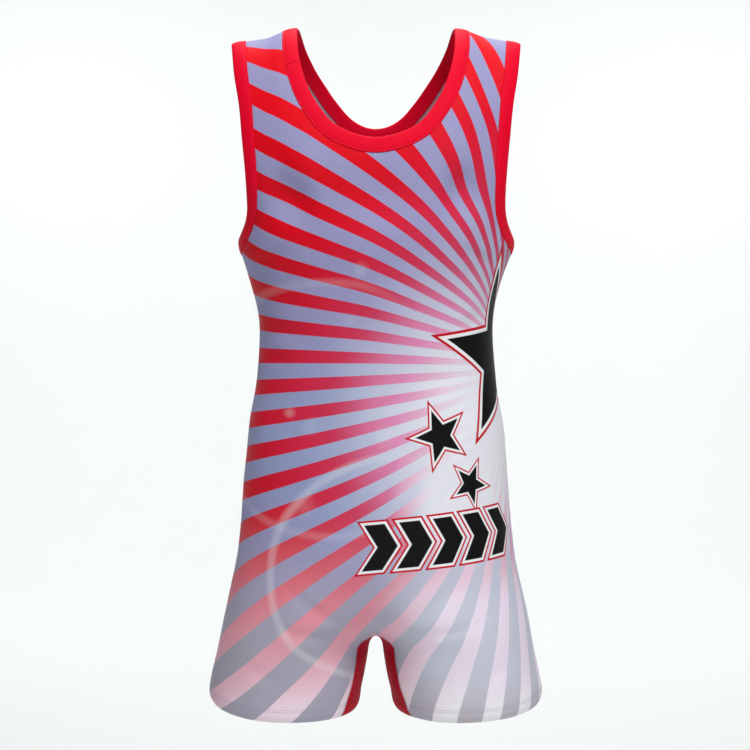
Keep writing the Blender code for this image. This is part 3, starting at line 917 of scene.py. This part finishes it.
def strip_line(strip, distance, height):
    """A line along a strip at a distance from its seam and a height over the cloth, and its normals."""
    foot = on_skin(strip.points + distance * strip.across)
    normals = skin_normal(foot) * strip.flip
    return settled(foot * strip.flip, normals, height), normals


def away_from_middle(centre, flip):
    """Direction from the middle of a binding's thickness to a place on it."""
    place = np.array([list(centre)]) * flip
    foot = on_skin(place)
    normal = skin_normal(foot)
    height = float(np.sum((place - foot) * normal) - relief(foot * flip)[0])
    return Vector((normal[0] * flip) * (height - BINDING_MIDDLE))


def fresh_cuts(seam, tangents):
    """The ring opened at its first point, with close rings at both ends for their rounding."""
    starts = [seam[0] + tangents[0] * (JOIN_GAP / 2 + along) for along, _ in END_ROUNDING]
    ends = [seam[0] - tangents[0] * (JOIN_GAP / 2 + along) for along, _ in reversed(END_ROUNDING)]
    thick = [share for _, share in END_ROUNDING]
    points = np.concatenate([starts, seam[1:], ends])
    turns = np.concatenate([[tangents[0]] * len(starts), tangents[1:], [tangents[0]] * len(ends)])
    shares = np.concatenate([thick, np.ones(len(seam) - 1), thick[::-1]])
    return points, turns, shares


def closed_tangents(points):
    return unit(np.roll(points, -1, axis=0) - np.roll(points, 1, axis=0))


def binding(name, ring, hand=1):
    """A folded strip round a hole, and the frame that its stitching follows."""
    points, turns, shares = fresh_cuts(ring, closed_tangents(ring))
    across = strip_directions(points, turns, ring.mean(axis=0) - points)
    strip = Strip(points, across, np.array([hand, 1, 1]))
    lines = []
    for distance, height in BINDING_PROFILE:
        lines.append(strip_line(strip, distance, BINDING_MIDDLE + (height - BINDING_MIDDLE) * shares)[0])
    round_strip = lengths(np.array(BINDING_PROFILE))
    uv = np.stack(np.broadcast_arrays(round_strip, lengths(points)[:, None]), axis=-1)
    cloth = Cloth()
    cloth.quads(cloth.add(np.stack(lines, axis=1), uv))
    return cloth.build(name, lambda place: away_from_middle(place, strip.flip)), strip


# Stitching: short beads of thread laid along a line, one row after another.

THREAD_SIDES = 6
BEAD = (  # along the bead, height and radius
    (-0.50, -0.9, 0.35),
    (-0.38, 0.2, 0.85),
    (0.00, 0.6, 1.00),
    (0.38, 0.2, 0.85),
    (0.50, -0.9, 0.35),
)
SIGHT = 0.0005  # how far ahead of a bead and behind it the line's direction is taken
OUTER_ROW = (0.0024, 0.0006)  # in a binding's groove: distance from the seam, and height
INNER_ROW = (0.0024, -0.0023)
SEAM_INSET = 0.0016
HEM_INSET = 0.002  # from the hem's inner edge to its first row
SIDE_SEAM_ROWS = slice(ARMHOLE_ROWS + 2, None)


def at_lengths(wanted, along, values):
    """Values given along a line, at these distances along it."""
    return np.stack([np.interp(wanted, along, part) for part in values.T], axis=-1)


def beads(line, normals):
    """Rings of the beads on a line, by bead, ring and corner."""
    along = lengths(line)
    count = max(int(along[-1] / STITCH_PITCH), 1)
    wanted = (np.arange(count) + 0.5) * along[-1] / count
    place = at_lengths(wanted, along, line)
    run = unit(at_lengths(wanted + SIGHT, along, line) - at_lengths(wanted - SIGHT, along, line))
    normal = unit(at_lengths(wanted, along, normals))
    flank = np.cross(normal, run)
    rings = []
    for step, height, radius in BEAD:
        centre = place + run * step * STITCH_LENGTH + normal * height * THREAD_RADIUS
        corners = []
        for angle in np.arange(THREAD_SIDES) * 2 * np.pi / THREAD_SIDES:
            spoke = flank * np.cos(angle) + normal * np.sin(angle)
            corners.append(centre + spoke * radius * THREAD_RADIUS)
        rings.append(np.stack(corners, axis=1))
    return np.stack(rings, axis=1)


def stitches(name, runs):
    """One object of thread beads along every run."""
    vertices = np.concatenate([beads(line, normals) for line, normals in runs])
    index = np.arange(vertices[..., 0].size).reshape(vertices.shape[:-1])
    turned = np.roll(index, -1, axis=2)
    faces = np.stack([index[:, :-1], turned[:, :-1], turned[:, 1:], index[:, 1:]], axis=-1)
    mesh, bm = new_mesh(name, vertices, faces)
    bmesh.ops.holes_fill(bm, edges=[edge for edge in bm.edges if edge.is_boundary], sides=THREAD_SIDES)
    bmesh.ops.recalc_face_normals(bm, faces=bm.faces)
    return finished(name, mesh, bm)


def line_through(points, normals, distance):
    """A line through rows of points at this distance from each row's start, and its normals."""
    line, turned = [], []
    for row, turn in zip(points, normals):
        along = lengths(row)
        line.append(at_lengths(distance, along, row))
        turned.append(at_lengths(distance, along, turn))
    return np.array(line), unit(np.array(turned))


def side_seam_line(grid):
    rows = SIDE_SEAM_ROWS
    return line_through(grid.points[rows, ::-1], grid.normals[rows, ::-1], SEAM_INSET)


def gusset_seam_line(grid):
    rows = LEG_EDGE[0]
    return line_through(grid.points[rows], grid.normals[rows], SEAM_INSET)


def shoulder_seam_line(grid):
    return grid.points[1, 2:-2], grid.normals[1, 2:-2]


def hem_lines(halves):
    """Both rows of the hem's stitching, round each half."""
    lines = []
    for above in (HEM_DEPTH - HEM_INSET, HEM_DEPTH - HEM_INSET - ROW_SPACING):
        for grid in halves:
            points, normals = grid.points[::-1], grid.normals[::-1]
            lines.append(line_through(points.swapaxes(0, 1), normals.swapaxes(0, 1), above))
    return lines


# Materials.


class Value:
    """Something that a material's nodes work out, with the usual arithmetic."""

    def __init__(self, graph, socket):
        self.graph, self.socket = graph, socket

    def math(self, operation, *others, clamp=False):
        values = dict(enumerate((self, *others)))
        return self.graph.node("Math", values, operation=operation, use_clamp=clamp)

    def __add__(self, other):
        return self.math("ADD", other)

    def __sub__(self, other):
        return self.math("SUBTRACT", other)

    def __mul__(self, other):
        return self.math("MULTIPLY", other)

    def __truediv__(self, other):
        return self.math("DIVIDE", other)

    def __abs__(self):
        return self.math("ABSOLUTE")

    def below(self, limit):
        """1 where the value is under the limit, with a narrow soft edge."""
        return (self - limit).math("MULTIPLY_ADD", -1 / EDGE_SOFTNESS, 0.5, clamp=True)

    def ramp(self, low, high):
        """0 at low and 1 at high, eased; low may be the greater of the two."""
        ends = (low, high, 0.0, 1.0) if low < high else (high, low, 1.0, 0.0)
        values = dict(zip(("Value", "From Min", "From Max", "To Min", "To Max"), (self, *ends)))
        return self.graph.node("MapRange", values, interpolation_type="SMOOTHSTEP")


class Graph:
    """A material and its nodes, whose inputs take a number, a colour or a value of other nodes."""

    def __init__(self, name):
        self.material = bpy.data.materials.new(name)
        self.material.use_nodes = True
        self.tree = self.material.node_tree

    def put(self, socket, value):
        if isinstance(value, Value):
            self.tree.links.new(value.socket, socket)
        elif isinstance(value, tuple):
            socket.default_value = (*value, 1.0)
        else:
            socket.default_value = value

    def node(self, kind, values, output=0, **settings):
        """One output of a new node, whose inputs' values are given by name or number."""
        node = self.tree.nodes.new("ShaderNode" + kind)
        for name, setting in settings.items():
            setattr(node, name, setting)
        for name, value in values.items():
            self.put(node.inputs[name], value)
        return Value(self, node.outputs[output])

    def mix(self, share, a, b):
        return self.node("Mix", {"Factor": share, 6: a, 7: b}, 2, data_type="RGBA")

    def noise(self, vector, scale, detail):
        return self.node("TexNoise", {"Vector": vector, "Scale": scale, "Detail": detail}, "Fac")

    def bump(self, height, distance, strength):
        return self.node("Bump", {"Height": height, "Distance": distance, "Strength": strength})

    def object_place(self):
        return self.node("TexCoord", {}, "Object")

    def cloth_place(self):
        """The place on the flat cloth, as a vector and as its two coordinates."""
        vector = self.node("UVMap", {}, uv_map=UV_LAYER)
        return vector, *(self.node("SeparateXYZ", {0: vector}, axis) for axis in (0, 1))

    def finish(self, **values):
        """The material, with these values in its shader; an input's name has _ for its spaces."""
        shader = self.tree.nodes["Principled BSDF"]
        for name, value in values.items():
            self.put(shader.inputs[name.replace("_", " ")], value)
        return self.material


# Colours, linear RGB.
# The first red is the rays' red painted lighter over the straps and the top of the chest, a painted highlight
# of the light from above; the next is the red below.
PAINTED_LIT_RED = (0.87, 0.001, 0.010)
RED = (0.76, 0.0015, 0.012)
MAGENTA = (0.60, 0.020, 0.105)
PINK = (0.86, 0.50, 0.61)
PINK_FOOT = (0.93, 0.80, 0.89)
HOT_PINK = (0.78, 0.24, 0.47)
LILAC = (0.350, 0.340, 0.590)
COOL = (0.300, 0.380, 0.610)
STONE = (0.430, 0.405, 0.500)
BLUSH = (0.92, 0.80, 0.94)
BLUSH_FOOT = (0.95, 0.95, 0.98)
PEARL = (0.63, 0.65, 0.77)
PEARL_FOOT = (0.56, 0.51, 0.57)
GLOW = (0.90, 0.90, 0.97)
WHITE = (0.93, 0.93, 0.96)
BLACK = (0.003, 0.003, 0.0035)
EDGE_RED = (0.60, 0.002, 0.014)
BINDING_RED = (0.87, 0.001, 0.026)
CRIMSON = (0.46, 0.0008, 0.018)
INSIDE = (0.62, 0.62, 0.70)
FLOOR = (0.895, 0.920, 0.915)
FLOOR_PALER = (0.905, 0.930, 0.925)

# Fades of the print, each from nothing at its first value to full at its second.
GLOW_CENTRE = (0.178, -0.475)
GLOW_FADES = {  # by the distance from the glow
    "near": (0.175, 0.045),
    "wide": (0.330, 0.080),
    "grey": (0.275, 0.060),
    "warm": (0.360, 0.140),
    "hot": (0.235, 0.145),
}
HEIGHT_FADES = {
    # chest: where the painted highlight on the red over the straps fades into the plain red
    "chest": (-0.100, -0.200),
    "hot": (-0.220, -0.360),
    "low": (-0.555, -0.830),
    "stone": (-0.560, -0.760),
    "leg": (-0.600, -0.700),
    "foot": (-0.760, -0.850),
}
SIDE_FADES = {
    "left": (-0.020, 0.090),
    "left_end": (0.520, 0.410),
    "inner": (-0.240, -0.120),
}
NEAR_SHARE = 0.96  # of the glow's colour
WIDE_SHARE = 0.07
LOWER_GLOW, COOL_LOBE = records(
    "centre fade share",
    ((0.125, -0.562), (0.120, 0.045), 0.94),
    ((-0.030, -0.500), (0.165, 0.060), 0.70),
)

# Plain motifs of the print: stars and chevrons, two faint rings and a few light spots.
STARS = records(
    "centre wide radius turn outline",
    ((0.2157, -0.392), 1.20, 0.102, -0.420, 0.0042),
    ((0.0849, -0.488), 1.07, 0.033, 0.550, 0.0026),
    ((0.1331, -0.546), 1.10, 0.025, 0.100, 0.0022),
)
STAR_POINTS = 5
STAR_WAIST = 0.42  # radius of the inner corners, as a share of the outer
OUTLINE_RED = 1.8  # width of the outer red outline, as a share of the white one
EDGE_SOFTNESS = 0.0006
FULL_TURNS = 4 * np.pi  # keep an angle above zero where it is folded
CHEVRON_CENTRE = (0.105, -0.612)
CHEVRON_PITCH = 0.0436
CHEVRON_HALF = 0.028
CHEVRON_LENGTH = 0.1962
CHEVRON_SLOPE = 0.10
CHEVRON_LEAN = 0.62
CHEVRON_OUTLINE = 0.0030
CHEVRON_BAR = 0.30  # half width of a bar, as a share of the pitch
CHEVRON_SQUARE = 0.85  # distance square to a leaning bar, for each step along the row
CHEVRON_SHIFT = 20 * CHEVRON_PITCH
RINGS = records(
    "centre radius share",
    ((0.036, -0.664), 0.153, 0.25),
    ((-0.052, -0.458), 0.152, 0.11),
)
RING_FADE = (0.008, 0.001)
RING_SIDE = (0.060, -0.040)
SPOTS = records(
    "centre radius share",
    ((-0.018, -0.292), 0.014, 0.16),
    ((-0.094, -0.462), 0.009, 0.22),
    ((-0.072, -0.478), 0.014, 0.12),
    ((0.012, -0.490), 0.018, 0.12),
    ((-0.030, -0.352), 0.012, 0.10),
    ((-0.078, -0.575), 0.020, 0.10),
)

# The knit and its thread.
WALE = 0.00072  # width of one column of loops
COURSE = 0.00055  # height of one row of loops
PLAIN, PRINTED, INNER = records(
    "roughness specular sheen tint loop_height mottle_scale mottle least",
    (0.60, 0.08, 0.04, (1.0, 0.30, 0.35), 0.00012, 260.0, 0.16, 0.92),
    (0.55, 0.15, 0.03, (1.0, 0.95, 0.97), 0.00010, 320.0, 0.10, 0.95),
    (0.70, 0.15, 0.06, (1.0, 1.0, 1.0), 0.00014, None, None, None),
)
INNER_SHARE = 0.80  # of the pale back over the print
SHEEN_ROUGHNESS = 0.40
WALE_RELIEF = 2.0
COURSE_RELIEF = 0.22
FUZZ_RELIEF = 0.35
FUZZ_SCALE = 900.0
KNIT_STRENGTH = 0.6
PLY_SCALE = 2600.0
PLY_SHADE = 0.7
PLY_HEIGHT = 0.00005


def knit_bump(graph, distance):
    """Columns of small loops, in metres of cloth."""
    vector, u, v = graph.cloth_place()
    wale = (u / WALE).math("PINGPONG", 0.5)
    course = (v * (2 * np.pi / COURSE)).math("SINE")
    fuzz = graph.noise(vector, FUZZ_SCALE, 2.0)
    height = course * COURSE_RELIEF + wale * WALE_RELIEF + fuzz * FUZZ_RELIEF
    return graph.bump(height, distance, KNIT_STRENGTH)


def knit(graph, look, colour):
    """Finishes a knit's material: its colour, mottled where the cloth faces out, sheen and loops."""
    if look["mottle"]:
        mottle = graph.noise(graph.cloth_place()[0], look["mottle_scale"], 3.0)
        value = mottle * look["mottle"] + look["least"]
        colour = graph.node("HueSaturation", {"Color": colour, "Value": value})
    return graph.finish(
        Base_Color=colour,
        Roughness=look["roughness"],
        Specular_IOR_Level=look["specular"],
        Sheen_Weight=look["sheen"],
        Sheen_Roughness=SHEEN_ROUGHNESS,
        Sheen_Tint=look["tint"],
        Normal=knit_bump(graph, look["loop_height"]),
    )


def distance(x, y):
    return (x * x + y * y).math("SQRT")


def from_place(u, v, place):
    return distance(u - place[0], v - place[1])


def star_edge(u, v, star):
    """Distance from a star's outline, negative inside it."""
    x = (u - star["centre"][0]) / star["wide"]
    y = v - star["centre"][1]
    folded = (y.math("ARCTAN2", x) + (star["turn"] + FULL_TURNS)).math("PINGPONG", np.pi / STAR_POINTS)
    tip = np.array([star["radius"], 0.0])
    corner = np.array([np.cos(np.pi / STAR_POINTS), np.sin(np.pi / STAR_POINTS)])
    edge = star["radius"] * STAR_WAIST * corner - tip
    normal = np.array([edge[1], -edge[0]]) / np.hypot(*edge)
    slant = folded.math("COSINE") * float(normal[0]) + folded.math("SINE") * float(normal[1])
    return distance(x, y) * slant - float(normal @ tip)


def chevron_edge(u, v):
    """Distance from a row of chevrons, negative inside them."""
    x = u - CHEVRON_CENTRE[0]
    height = abs(v - CHEVRON_CENTRE[1] - x * CHEVRON_SLOPE)
    leaning = height * CHEVRON_LEAN + x
    bar = (leaning + CHEVRON_SHIFT).math("PINGPONG", CHEVRON_PITCH / 2)
    thick = (bar - CHEVRON_PITCH * CHEVRON_BAR) * CHEVRON_SQUARE
    ends = abs(leaning) - CHEVRON_LENGTH / 2
    return (height - CHEVRON_HALF).math("MAXIMUM", thick).math("MAXIMUM", ends)


def ray_share(u, v):
    """1 on the red rays and 0 on the grey."""
    du = u - RAY_CENTRE[0]
    dv = v - RAY_CENTRE[1]
    wave = (dv.math("ARCTAN2", du) * RAY_COUNT - RAY_PHASE).math("COSINE")
    sharp = distance(du, dv) * (1 / (RAY_COUNT * RAY_EDGE))
    return (wave - RAY_BALANCE).math("MULTIPLY_ADD", sharp, 0.5, clamp=True)


def lobe(u, v, patch):
    """A soft round patch of the print."""
    return from_place(u, v, patch["centre"]).ramp(*patch["fade"]) * patch["share"]


def ray_colours(graph, u, v):
    """Colours of the grey rays and the red, with their fading and a painted highlight on the red over the
    straps.
    """
    away = from_place(u, v, GLOW_CENTRE)
    glow = {name: away.ramp(*ends) for name, ends in GLOW_FADES.items()}
    down = {name: v.ramp(*ends) for name, ends in HEIGHT_FADES.items()}
    side = {name: u.ramp(*ends) for name, ends in SIDE_FADES.items()}
    bright = (glow["near"] * NEAR_SHARE).math("MAXIMUM", glow["wide"] * WIDE_SHARE)
    bright = bright.math("MAXIMUM", lobe(u, v, LOWER_GLOW))
    leg = down["leg"] * side["left"] * side["left_end"]

    # Painted highlight: the red is lighter over the straps and the top of the chest, as if lit from above.
    red = graph.mix(down["chest"], PAINTED_LIT_RED, RED)
    red = graph.mix(glow["warm"], red, MAGENTA)
    red = graph.mix(glow["hot"] * down["hot"], red, HOT_PINK)
    red = graph.mix(down["low"], red, graph.mix(down["foot"] * side["inner"], PINK, PINK_FOOT))
    red = graph.mix(bright, red, GLOW)
    red = graph.mix(leg, red, graph.mix(down["foot"], BLUSH, BLUSH_FOOT))

    grey = graph.mix(down["stone"], LILAC, STONE)
    grey = graph.mix(lobe(u, v, COOL_LOBE), grey, COOL)
    grey = graph.mix(bright.math("MAXIMUM", glow["grey"]), grey, GLOW)
    grey = graph.mix(leg, grey, graph.mix(down["foot"], PEARL, PEARL_FOOT))
    return grey, red


def print_colour(graph):
    """The whole print: rays, two faint rings, light spots, and the plain stars and chevrons."""
    _, u, v = graph.cloth_place()
    colour = graph.mix(ray_share(u, v), *ray_colours(graph, u, v))
    for ring in RINGS:
        off = abs(from_place(u, v, ring["centre"]) - ring["radius"])
        seen = off.ramp(*RING_FADE) * u.ramp(*RING_SIDE)
        colour = graph.mix(seen * ring["share"], colour, WHITE)
    for spot in SPOTS:
        seen = from_place(u, v, spot["centre"]).ramp(spot["radius"], 0.0)
        colour = graph.mix(seen * spot["share"], colour, WHITE)
    shapes = [(star_edge(u, v, star), star["outline"]) for star in STARS]
    shapes.append((chevron_edge(u, v), CHEVRON_OUTLINE))
    for edge, outline in shapes:
        colour = graph.mix(edge.below(outline * OUTLINE_RED), colour, EDGE_RED)
        colour = graph.mix(edge.below(outline), colour, WHITE)
        colour = graph.mix(edge.below(0.0), colour, BLACK)
    return colour


def plain_knit(name, colour):
    return knit(Graph(name), PLAIN, colour)


def printed_knit(name):
    graph = Graph(name)
    return knit(graph, PRINTED, print_colour(graph))


def inner_knit(name):
    """The cloth's unprinted inner face, where the print shows through faintly."""
    graph = Graph(name)
    return knit(graph, INNER, graph.mix(INNER_SHARE, print_colour(graph), INSIDE))


def thread(name, colour):
    graph = Graph(name)
    ply = graph.noise(graph.object_place(), PLY_SCALE, 1.0)
    darker = tuple(PLY_SHADE * part for part in colour)
    return graph.finish(Base_Color=graph.mix(ply, darker, colour), Roughness=0.45,
                        Normal=graph.bump(ply, PLY_HEIGHT, 0.5))


def floor_material():
    graph = Graph("pale_floor")
    grain = graph.noise(graph.object_place(), 3.0, 2.0)
    return graph.finish(Base_Color=graph.mix(grain, FLOOR, FLOOR_PALER), Roughness=0.9)


def solidify(obj, thickness, materials):
    for material in materials:
        obj.data.materials.append(material)
    modifier = obj.modifiers.new("thickness", "SOLIDIFY")
    modifier.thickness = thickness
    modifier.offset = -1
    modifier.material_offset = 1
    modifier.material_offset_rim = 0


def dress(obj, node):
    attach(obj, "root")
    if node:
        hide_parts(node)


def sew(name, runs, material):
    rows = stitches(name, runs)
    rows.data.materials.append(material)
    dress(rows, None)


# The garment.

CLOTH_KNITS = (printed_knit("printed_knit"), inner_knit("printed_knit_inside"))
BINDING_KNIT = plain_knit("binding_knit", BINDING_RED)
GUSSET_KNIT = plain_knit("gusset_knit", CRIMSON)
RED_THREAD = thread("red_thread", (0.72, 0.002, 0.020))
CRIMSON_THREAD = thread("crimson_thread", (0.30, 0.001, 0.012))
PALE_THREAD = thread("lilac_thread", (0.42, 0.42, 0.56))

front, front_halves = panel("cloth_front", FRONT)
back, back_halves = panel("cloth_back", BACK)
inner_leg, gusset_halves = gusset("cloth_leg_gusset")
solidify(front, CLOTH, CLOTH_KNITS)
solidify(back, CLOTH, CLOTH_KNITS)
solidify(inner_leg, CLOTH, (GUSSET_KNIT, GUSSET_KNIT))

neck, neck_strip = binding("cloth_neck_binding", neck_ring())
arm_left, left_strip = binding("cloth_armhole_binding_left", armhole_ring())
arm_right, right_strip = binding("cloth_armhole_binding_right", armhole_ring(), hand=-1)
for piece in (neck, arm_left, arm_right):
    solidify(piece, BINDING_CLOTH, (BINDING_KNIT, BINDING_KNIT))

dress(front, "front_panel")
dress(back, "back_panel")
dress(inner_leg, "leg_gusset")
dress(neck, "neck_binding")
dress(arm_left, "armhole_binding_left")
dress(arm_right, "armhole_binding_right")

for name, strip in (("neck", neck_strip), ("armhole_left", left_strip), ("armhole_right", right_strip)):
    inner_line, inner_normals = strip_line(strip, *INNER_ROW)
    runs = [strip_line(strip, *OUTER_ROW), (inner_line, -inner_normals)]
    sew(f"stitches_{name}", runs, RED_THREAD)

panel_halves = front_halves + back_halves
SEAMS = (
    ("stitches_side_seams", side_seam_line, PALE_THREAD, "printed_knit"),
    ("stitches_gusset_seams", gusset_seam_line, CRIMSON_THREAD, "gusset_knit"),
    ("stitches_shoulder_seams", shoulder_seam_line, PALE_THREAD, "printed_knit"),
)
for name, seam_line, material, slot in SEAMS:
    sew(name, [seam_line(grid) for grid in panel_halves], material)
sew("stitches_hems", hem_lines(panel_halves), PALE_THREAD)
sew("stitches_gusset_hems", hem_lines(gusset_halves), CRIMSON_THREAD)


# Studio.

FLOOR_LEVEL = -1.50
FLOOR_FRONT = -10.0
WALL_FOOT = 3.0  # where the floor begins to curve up
WALL_BEND = 1.2
WALL_TOP = 5.0
HALF_WIDTH = 12.0
AIM = Vector((0.0, 0.0, -0.4250))
LIGHTS = records(
    "name place watts size aim",
    ("key", (0.5, -2.3, 3.5), 181.0, 1.8, AIM),
    ("front_fill", (0.6, -3.4, -0.4), 15.0, 1.4, AIM),
    ("wall_left", (-1.9, 2.2, 0.7), 20.4, 1.0, Vector((-1.5, 4.2, -0.60))),
    ("wall_right", (1.9, 2.2, 0.7), 19.4, 1.0, Vector((1.5, 4.2, -0.60))),
    ("floor", (0.0, 1.4, 2.4), 49.0, 1.2, Vector((0.0, 1.2, -1.0))),
)
WORLD_COLOUR = (0.930, 0.950, 0.945, 1.0)
WORLD_STRENGTH = 0.06
CAMERA_DISTANCE = 1.6
CAMERA_RISE = np.radians(5.0)
CAMERA_SIDE = -0.00126
LENS = 61.0  # millimetres
SENSOR = 36.0


def backdrop():
    """A pale floor that curves up behind into a wall."""
    outline = [(FLOOR_FRONT, FLOOR_LEVEL), (WALL_FOOT, FLOOR_LEVEL)]
    for angle in np.radians(np.arange(10, 91, 10)):
        outline.append((WALL_FOOT + WALL_BEND * np.sin(angle), FLOOR_LEVEL + WALL_BEND * (1 - np.cos(angle))))
    outline.append((WALL_FOOT + WALL_BEND, WALL_TOP))
    points = np.array([[(x, y, z) for x in (-HALF_WIDTH, HALF_WIDTH)] for y, z in outline])
    index = np.arange(2 * len(outline)).reshape(-1, 2)
    mesh, bm = new_mesh("backdrop", points, np.concatenate([index[:-1], index[1:, ::-1]], axis=1))
    mesh.materials.append(floor_material())
    return finished("backdrop", mesh, bm)


def soft_light(name, place, watts, size, aim):
    light = bpy.data.lights.new(name, "AREA")
    light.shape = "DISK"
    light.energy = watts
    light.size = size
    obj = new_object(name, light)
    obj.location = place
    obj.rotation_euler = (aim - Vector(place)).to_track_quat("-Z", "Y").to_euler()
    obj.visible_camera = False


def faint_world():
    world = bpy.data.worlds.new("studio")
    world.use_nodes = True
    sky = world.node_tree.nodes["Background"].inputs
    sky["Color"].default_value = WORLD_COLOUR
    sky["Strength"].default_value = WORLD_STRENGTH
    return world


def camera_in_front():
    camera = new_object("camera", bpy.data.cameras.new("camera"))
    camera.data.lens = LENS
    camera.data.sensor_width = SENSOR
    back = CAMERA_DISTANCE * np.cos(CAMERA_RISE)
    rise = CAMERA_DISTANCE * np.sin(CAMERA_RISE)
    camera.location = AIM + Vector((CAMERA_SIDE, -back, rise))
    camera.rotation_euler = (QUARTER - CAMERA_RISE, 0.0, 0.0)
    return camera


backdrop()
for light in LIGHTS:
    soft_light(**light)
bpy.context.scene.world = faint_world()
bpy.context.scene.view_settings.view_transform = "Standard"
bpy.context.scene.camera = camera_in_front()
